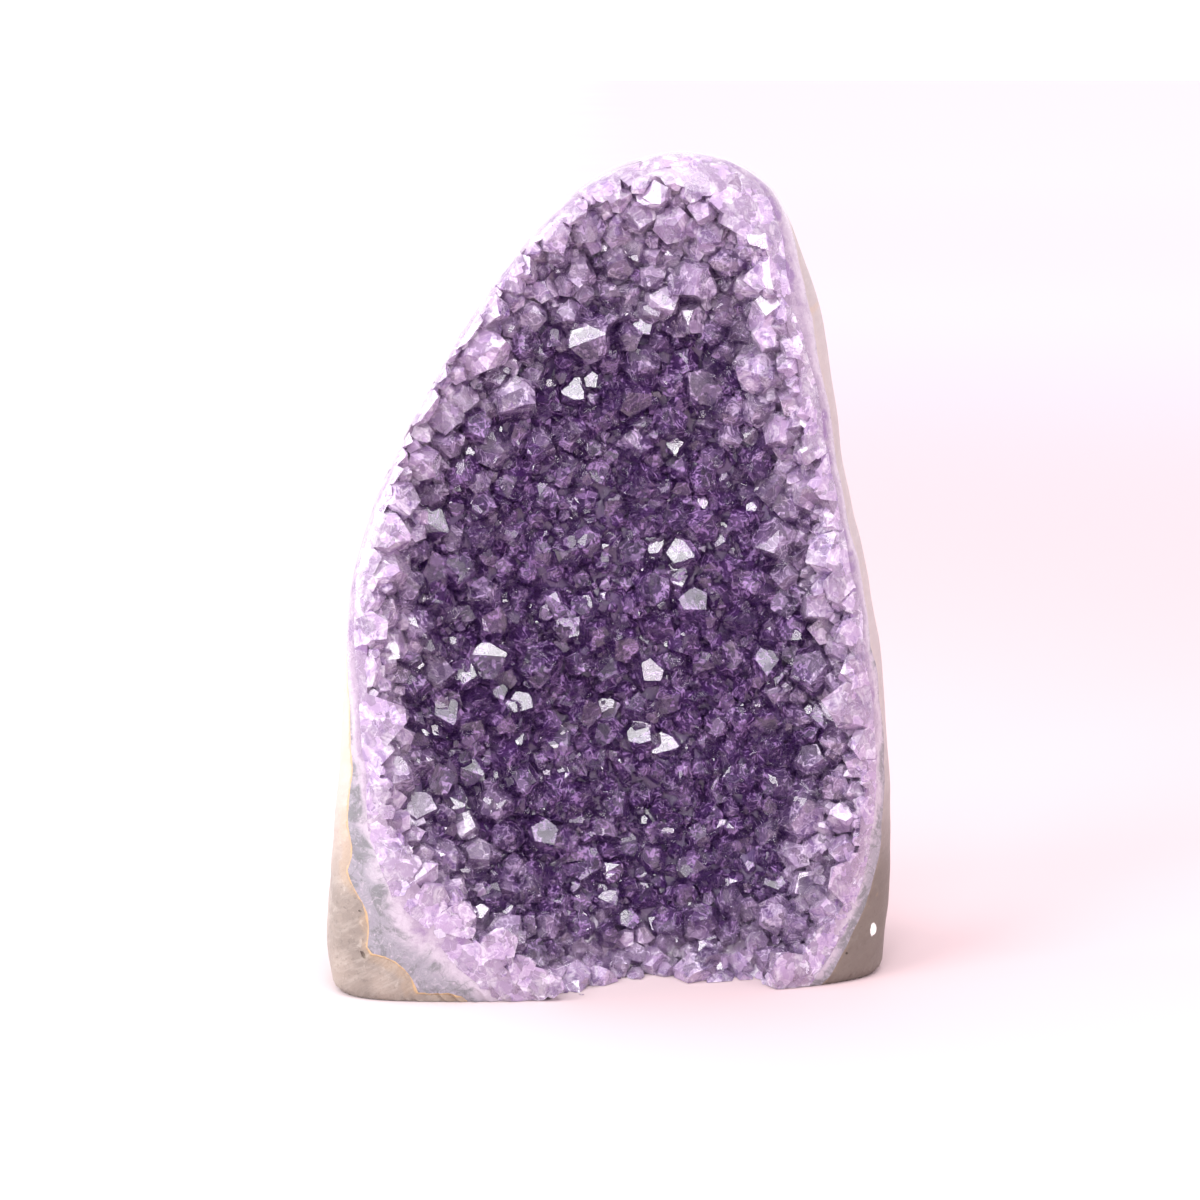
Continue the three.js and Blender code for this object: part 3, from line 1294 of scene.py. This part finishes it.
        roughen(bm, relief)
        if grow:
            roughen(bm, lambda p: grow)
        centre = Vector((form.middle.x, form.widest_plane(0, 0) + 10, 0))
        for vert in bm.verts:
            if vert.co.z < form.base_roll:
                short = form.base_roll - max(0.0, vert.co.z)
                pull = form.base_roll - math.sqrt(max(0.0, form.base_roll**2 - short**2))
                inward = centre - vert.co
                inward.z = 0
                vert.co += inward.normalized() * pull
        cut_flat(bm, Vector((0, 0, 0)), Vector((0, 0, -1)), 1e-4)
        face_out(bm)
        return mesh_of(bm)

    def plug(self, edge: Edge, deepest: float, *relief: Field) -> bpy.types.Mesh:
        """Makes what fills a bowl and stands out in front of it.

        Args:
            edge: the bowl's edge.
            deepest: its depth at the base.
            relief: the relief on its wall.

        Returns:
            The closed mesh.
        """
        form = self.form
        bm = form.pressed_sphere(
            edge, form.bowl_wall(deepest), lambda pole: form.bowl_squareness,
            self.bowl_around, self.bowl_across,
        )
        roughen(bm, *relief)
        return mesh_of(bm)

    def vugs(self) -> list[bpy.types.Mesh]:
        """Makes the small holes that are open in the basalt, most of them along the seam.

        Returns:
            The shapes that are taken out of it.
        """
        tree = nearest_tree(self.stone)
        meshes = []
        for across, up, size, turn in self.vug_places:
            hit = tree.ray_cast(Vector((across, -100, up)), Vector((0, 1, 0)))[0]
            bm = bmesh.new()
            bmesh.ops.create_icosphere(bm, subdivisions=2, radius=size)
            bmesh.ops.scale(bm, vec=(1.0, 0.8, 0.5), verts=bm.verts)
            roughen(bm, Lumps(0.25 * size, 0.8 * size, 2, size))
            place = Matrix.Translation(hit) @ Matrix.Rotation(math.radians(turn), 4, "Y")
            bmesh.ops.transform(bm, matrix=place, verts=bm.verts)
            face_out(bm)
            meshes.append(mesh_of(bm))
        return meshes

    def placed(
        self, name: str, mesh: bpy.types.Mesh, crease: float, node: str,
        finish: bpy.types.Material,
    ) -> bpy.types.Object:
        """Sets a finished mesh in the frame as a piece that stands for a CAD node.

        Args:
            name: the piece's name.
            mesh: its mesh, in millimetres.
            crease: the angle in degrees above which an edge stays sharp.
            node: the CAD node that it stands for.
            finish: its material.

        Returns:
            The piece.
        """
        self.seat.settle(mesh, crease)
        mesh.name = name
        mesh.materials.clear()
        mesh.materials.append(finish)
        piece = bpy.data.objects.new(name, mesh)
        bpy.context.scene.collection.objects.link(piece)
        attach(piece, "root")
        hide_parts(node)
        return piece

    def record_across(
        self, mesh: bpy.types.Mesh, outer: bpy.types.Mesh, inner: bpy.types.Mesh,
        ends: tuple[float, float],
    ) -> None:
        """Stores the attribute `across` of a layer.

        Args:
            mesh: the layer's mesh.
            outer: the solid that the layer starts at.
            inner: the solid that it ends at.
            ends: the values at the outer and the inner solid's surface.
        """
        tiny = 1e-6  # keeps the share defined where both distances are 0
        found = (distances(mesh, nearest_tree(solid), self.band_reach) for solid in (outer, inner))
        shares = [lerp(*ends, out / (out + into + tiny)) for out, into in zip(*found)]
        record(mesh, "across", shares)

    def basalt(self) -> bpy.types.Object:
        """Cuts the basalt: the stone outside the agate, with its small holes.

        Returns:
            The piece.
        """
        mesh = combined(self.stone, [self.rock_plug, *self.vugs()], Joining.DIFFERENCE)
        record(mesh, "seam", distances(mesh, nearest_tree(self.rock_plug), self.seam_reach))
        finish = BasaltFinish().material()
        return self.placed("basalt_stone", mesh, STONE_CREASE, "basalt_matrix", finish)

    def agate(self) -> bpy.types.Object:
        """Cuts the agate: the lining between the basalt and the quartz.

        Returns:
            The piece.
        """
        inner = combined(self.stone, [self.rock_plug], Joining.INTERSECT)
        mesh = combined(inner, [self.quartz_plug], Joining.DIFFERENCE)
        self.record_across(mesh, self.rock_plug, self.quartz_plug, (0.0, 0.5))
        finish = RimFinish("agate").material()
        return self.placed("agate_lining", mesh, STONE_CREASE, "agate_band", finish)

    def quartz(self) -> bpy.types.Object:
        """Cuts the milky quartz that the crystals grow from.

        Returns:
            The piece.
        """
        inner = combined(self.stone, [self.quartz_plug], Joining.INTERSECT)
        mesh = combined(inner, [self.bed_plug], Joining.DIFFERENCE)
        self.record_across(mesh, self.quartz_plug, self.bed_plug, (0.5, 1.0))
        record(mesh, "rim", distances(mesh, nearest_tree(self.stone), self.rim_reach))
        finish = RimFinish("milky_quartz").material()
        return self.placed("quartz_bed", mesh, STONE_CREASE, "amethyst_druse", finish)

    def crystals(self) -> bpy.types.Object:
        """Grows the crystals and cuts them flush with the ground rim, the base and the agate.

        Returns:
            The piece.
        """
        whole = Druse(self.form, self.bed_edge, nearest_tree(self.stone)).solid()
        ground = combined(whole, [self.whole_stone(self.proud)], Joining.INTERSECT)
        mesh = combined(ground, [self.quartz_plug], Joining.INTERSECT)
        record(mesh, "rim", distances(mesh, nearest_tree(self.stone), self.rim_reach))
        finish = AmethystFinish().material()
        return self.placed(
            "amethyst_crystals", mesh, CRYSTAL_CREASE, "amethyst_druse", finish
        )


# ---- Studio ------------------------------------------------------------------------------


@dataclass(frozen=True)
class Softbox:
    """A square studio light that points at the stone."""

    name: str
    at: tuple[float, float, float]
    side: float
    radiance: float
    colour: Colour = (1.0, 1.0, 1.0)

    def build(self, target: Vector) -> bpy.types.Object:
        """Adds the light.

        Args:
            target: what it is turned towards.

        Returns:
            The light.
        """
        data = bpy.data.lights.new(self.name, "AREA")
        data.shape = "SQUARE"
        data.size = self.side
        data.energy = self.radiance * math.pi * self.side**2
        data.color = self.colour
        light = bpy.data.objects.new(self.name, data)
        light.location = self.at
        light.rotation_euler = (target - light.location).to_track_quat("-Z", "Y").to_euler()
        bpy.context.scene.collection.objects.link(light)
        return light


@dataclass
class Studio:
    """The floor, the lights and the camera."""

    elevation: float = math.radians(10.0)
    distance: float = 0.594
    lens: float = 100.0
    sensor: float = 36.0
    aim: Vector = Vector((-0.0025, -0.008, 0.0678))
    floor_half: float = 8.0
    sweep: float = 0.12  # how fast the floor curves up, far in front of the hollow
    sweep_from: float = -4.0
    dim_until: float = -0.75  # y of the directions in which the room is dim
    bright_from: float = -0.15  # and of those in which it is bright
    bright_side: Colour = (1.5, 1.41, 1.47)
    dim_side: Colour = (0.155, 0.115, 0.15)
    lights: tuple[Softbox, ...] = (
        Softbox("key_softbox", (-0.62, -0.5, 0.62), 0.42, 11.5),
        Softbox("left_panel", (-0.8, 0.15, 0.35), 0.6, 4.0),
        Softbox("top_panel", (0.15, -0.45, 1.0), 0.5, 5.0),
        Softbox("right_softbox", (0.7, -0.6, 0.5), 0.28, 13.0, (1.0, 0.94, 0.98)),
        Softbox("low_left_softbox", (-0.5, -0.8, 0.2), 0.20, 14.0),
        Softbox("high_softbox", (-0.15, -0.75, 0.75), 0.22, 14.0),
        Softbox("front_softbox", (0.25, -0.95, 0.32), 0.18, 14.0),
    )

    def build(self) -> None:
        """Sets the studio up round the stone."""
        scene = bpy.context.scene
        scene.view_settings.view_transform = "Standard"
        scene.cycles.max_bounces = 6
        scene.cycles.diffuse_bounces = 2
        scene.cycles.glossy_bounces = 2
        scene.cycles.transmission_bounces = 6
        self.floor()
        scene.world = self.room()
        for light in self.lights:
            light.build(self.aim)
        data = bpy.data.cameras.new("camera")
        data.lens = self.lens
        data.sensor_width = self.sensor
        camera = bpy.data.objects.new("camera", data)
        back = Vector((0, -math.cos(self.elevation), math.sin(self.elevation)))
        camera.location = self.aim + back * self.distance
        camera.rotation_euler = (-back).to_track_quat("-Z", "Y").to_euler()
        scene.collection.objects.link(camera)
        scene.camera = camera

    def room(self) -> bpy.types.World:
        """Makes the white room, which is dim on the side that the hollow faces.

        Returns:
            The world.
        """
        s = Shader(bpy.data.worlds.new("studio"))
        direction = s.sock(s.coordinates, "Generated")
        behind = s.vector("DOT_PRODUCT", direction, (0.0, 1.0, 0.0))
        fade = behind.step(self.dim_until, self.bright_from)
        colour = s.mix(fade, self.dim_side, self.bright_side)
        return s.finish(s.sock(s.node("Background", {}, {"Color": colour}), 0))

    def floor(self) -> bpy.types.Object:
        """Adds the pale floor just under the base; it sweeps up far in front of the hollow.

        Returns:
            The floor.
        """
        bm = bmesh.new()
        bmesh.ops.create_grid(bm, x_segments=4, y_segments=64, size=self.floor_half)
        bmesh.ops.translate(bm, verts=bm.verts, vec=(0, 0, CAD_BOX[0][2] - 0.0001))
        for vert in bm.verts:
            vert.co.z += self.sweep * max(0.0, self.sweep_from - vert.co.y) ** 2
        floor = bpy.data.objects.new("floor", mesh_of(bm, "floor"))
        floor.data.materials.append(BackdropFinish().material())
        bpy.context.scene.collection.objects.link(floor)
        return floor


def main() -> None:
    """Builds the geode and the studio, and reports each piece."""
    logging.basicConfig(level=logging.INFO, format="%(name)s: %(message)s")
    geode = Geode(StoneForm())
    for build in (geode.basalt, geode.agate, geode.quartz, geode.crystals):
        piece = build()
        LOG.info("%s: %d faces", piece.name, len(piece.data.polygons))
    Studio().build()


if __name__ == "__main__":
    main()
